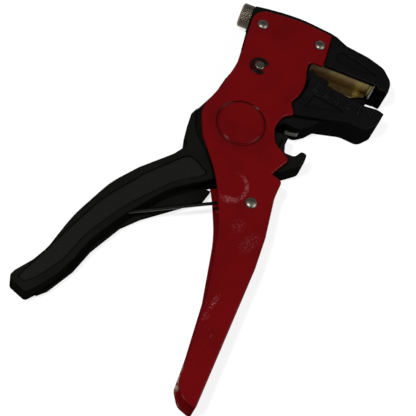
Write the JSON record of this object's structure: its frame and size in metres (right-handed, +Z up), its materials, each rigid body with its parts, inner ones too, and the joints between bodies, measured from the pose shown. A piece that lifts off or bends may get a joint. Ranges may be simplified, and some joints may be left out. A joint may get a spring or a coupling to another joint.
{
  "type": "automatic wire stripper",
  "caption": "Self-adjusting wire stripper with duckbill jaws, sheet-steel frame handle, sprung plastic lever, sliding blade carriages, length stop and side cutter",
  "frame": {"origin": "on the surface it lies on, below the middle of the box round the whole tool", "axes": "+Z up through the thickness, towards the viewer of the picture; +X along the wire, towards the mouth; -Y towards the handle ends"},
  "size_m": [0.1158, 0.1791, 0.015],
  "materials": {
    "red_paint": "glossy red enamel on sheet steel",
    "black_jaw": "satin black moulding",
    "black_grip": "fine-textured black moulding",
    "black_stop": "satin black moulding",
    "grip_pad": "grooved black pad",
    "yellow_plating": "yellow passivated steel strip",
    "blade_steel": "ground hardened steel",
    "rivet_steel": "bright nickel-plated steel",
    "plain_steel": "plain steel",
    "knurled_steel": "knurled plated steel",
    "dark_spring_steel": "blackened spring steel",
    "spring_wire": "spring steel wire"
  },
  "bodies": {
    "frame": {"frame_channel": "red_paint", "upper_jaw": "black_jaw", "head_rivet_front": "rivet_steel", "head_rivet_rear": "rivet_steel", "handle_rivet": "rivet_steel", "lever_axle": "plain_steel", "jaw_hinge_pin": "rivet_steel", "e_clip": "dark_spring_steel", "upper_grip": "grip_pad", "handle_spring": "spring_wire"},
    "squeeze_lever": {"lever": "black_grip", "lever_arm": "plain_steel", "drive_pin": "plain_steel", "cutter_blade": "blade_steel"},
    "jaw": {"lower_jaw": "black_jaw", "lower_grip": "grip_pad", "cutter_anvil": "blade_steel"},
    "upper_carriage": {"upper_blade_carriage": "yellow_plating", "upper_blade": "blade_steel"},
    "lower_carriage": {"lower_blade_carriage": "yellow_plating", "lower_blade": "blade_steel"},
    "stop": {"length_stop": "black_stop"},
    "adjuster": {"adjust_knob": "knurled_steel", "adjust_screw": "plain_steel"},
    "nut": {"adjust_nut": "plain_steel"}
  },
  "joints": [
    {"name": "lever_squeeze", "type": "hinge", "parent": "frame", "child": "squeeze_lever", "pos_m": [0.0032, 0.02985, 0.00725], "axis": [0, 0, 1], "range_deg": [0, 20], "stiffness_Nm_per_rad": 0.6, "springref_deg": -22.92, "deforming": ["handle_spring"]},
    {"name": "jaw_close", "type": "hinge", "parent": "frame", "child": "jaw", "pos_m": [0.0022, 0.05865, 0.00725], "axis": [0, 0, 1], "range_deg": [0, 9.01]},
    {"name": "upper_blade_slide", "type": "slide", "parent": "frame", "child": "upper_carriage", "axis": [-1, 0, 0], "range_m": [0, 0.01315]},
    {"name": "lower_blade_slide", "type": "slide", "parent": "jaw", "child": "lower_carriage", "axis": [-0.9877, 0.1564, 0], "range_m": [0, 0.01175]},
    {"name": "length_stop_slide", "type": "slide", "parent": "jaw", "child": "stop", "axis": [0.9877, -0.1564, 0], "range_m": [-0.005, 0.005]},
    {"name": "adjust_knob_turn", "type": "hinge", "parent": "frame", "child": "adjuster", "pos_m": [-0.0111, 0.08425, 0.00725], "axis": [1, 0, 0], "range_deg": [-900, 900]},
    {"name": "adjust_nut_slide", "type": "slide", "parent": "frame", "child": "nut", "axis": [1, 0, 0], "range_m": [-0.001, 0.001]}
  ],
  "couplings": [
    {"joint": "jaw_close", "follows": "lever_squeeze", "ratio": 0.45},
    {"joint": "upper_blade_slide", "follows": "lever_squeeze", "m_per_rad": 0.03758},
    {"joint": "lower_blade_slide", "follows": "lever_squeeze", "m_per_rad": 0.03355},
    {"joint": "adjust_knob_turn", "follows": "adjust_nut_slide", "rad_per_m": 12566}
  ]
}
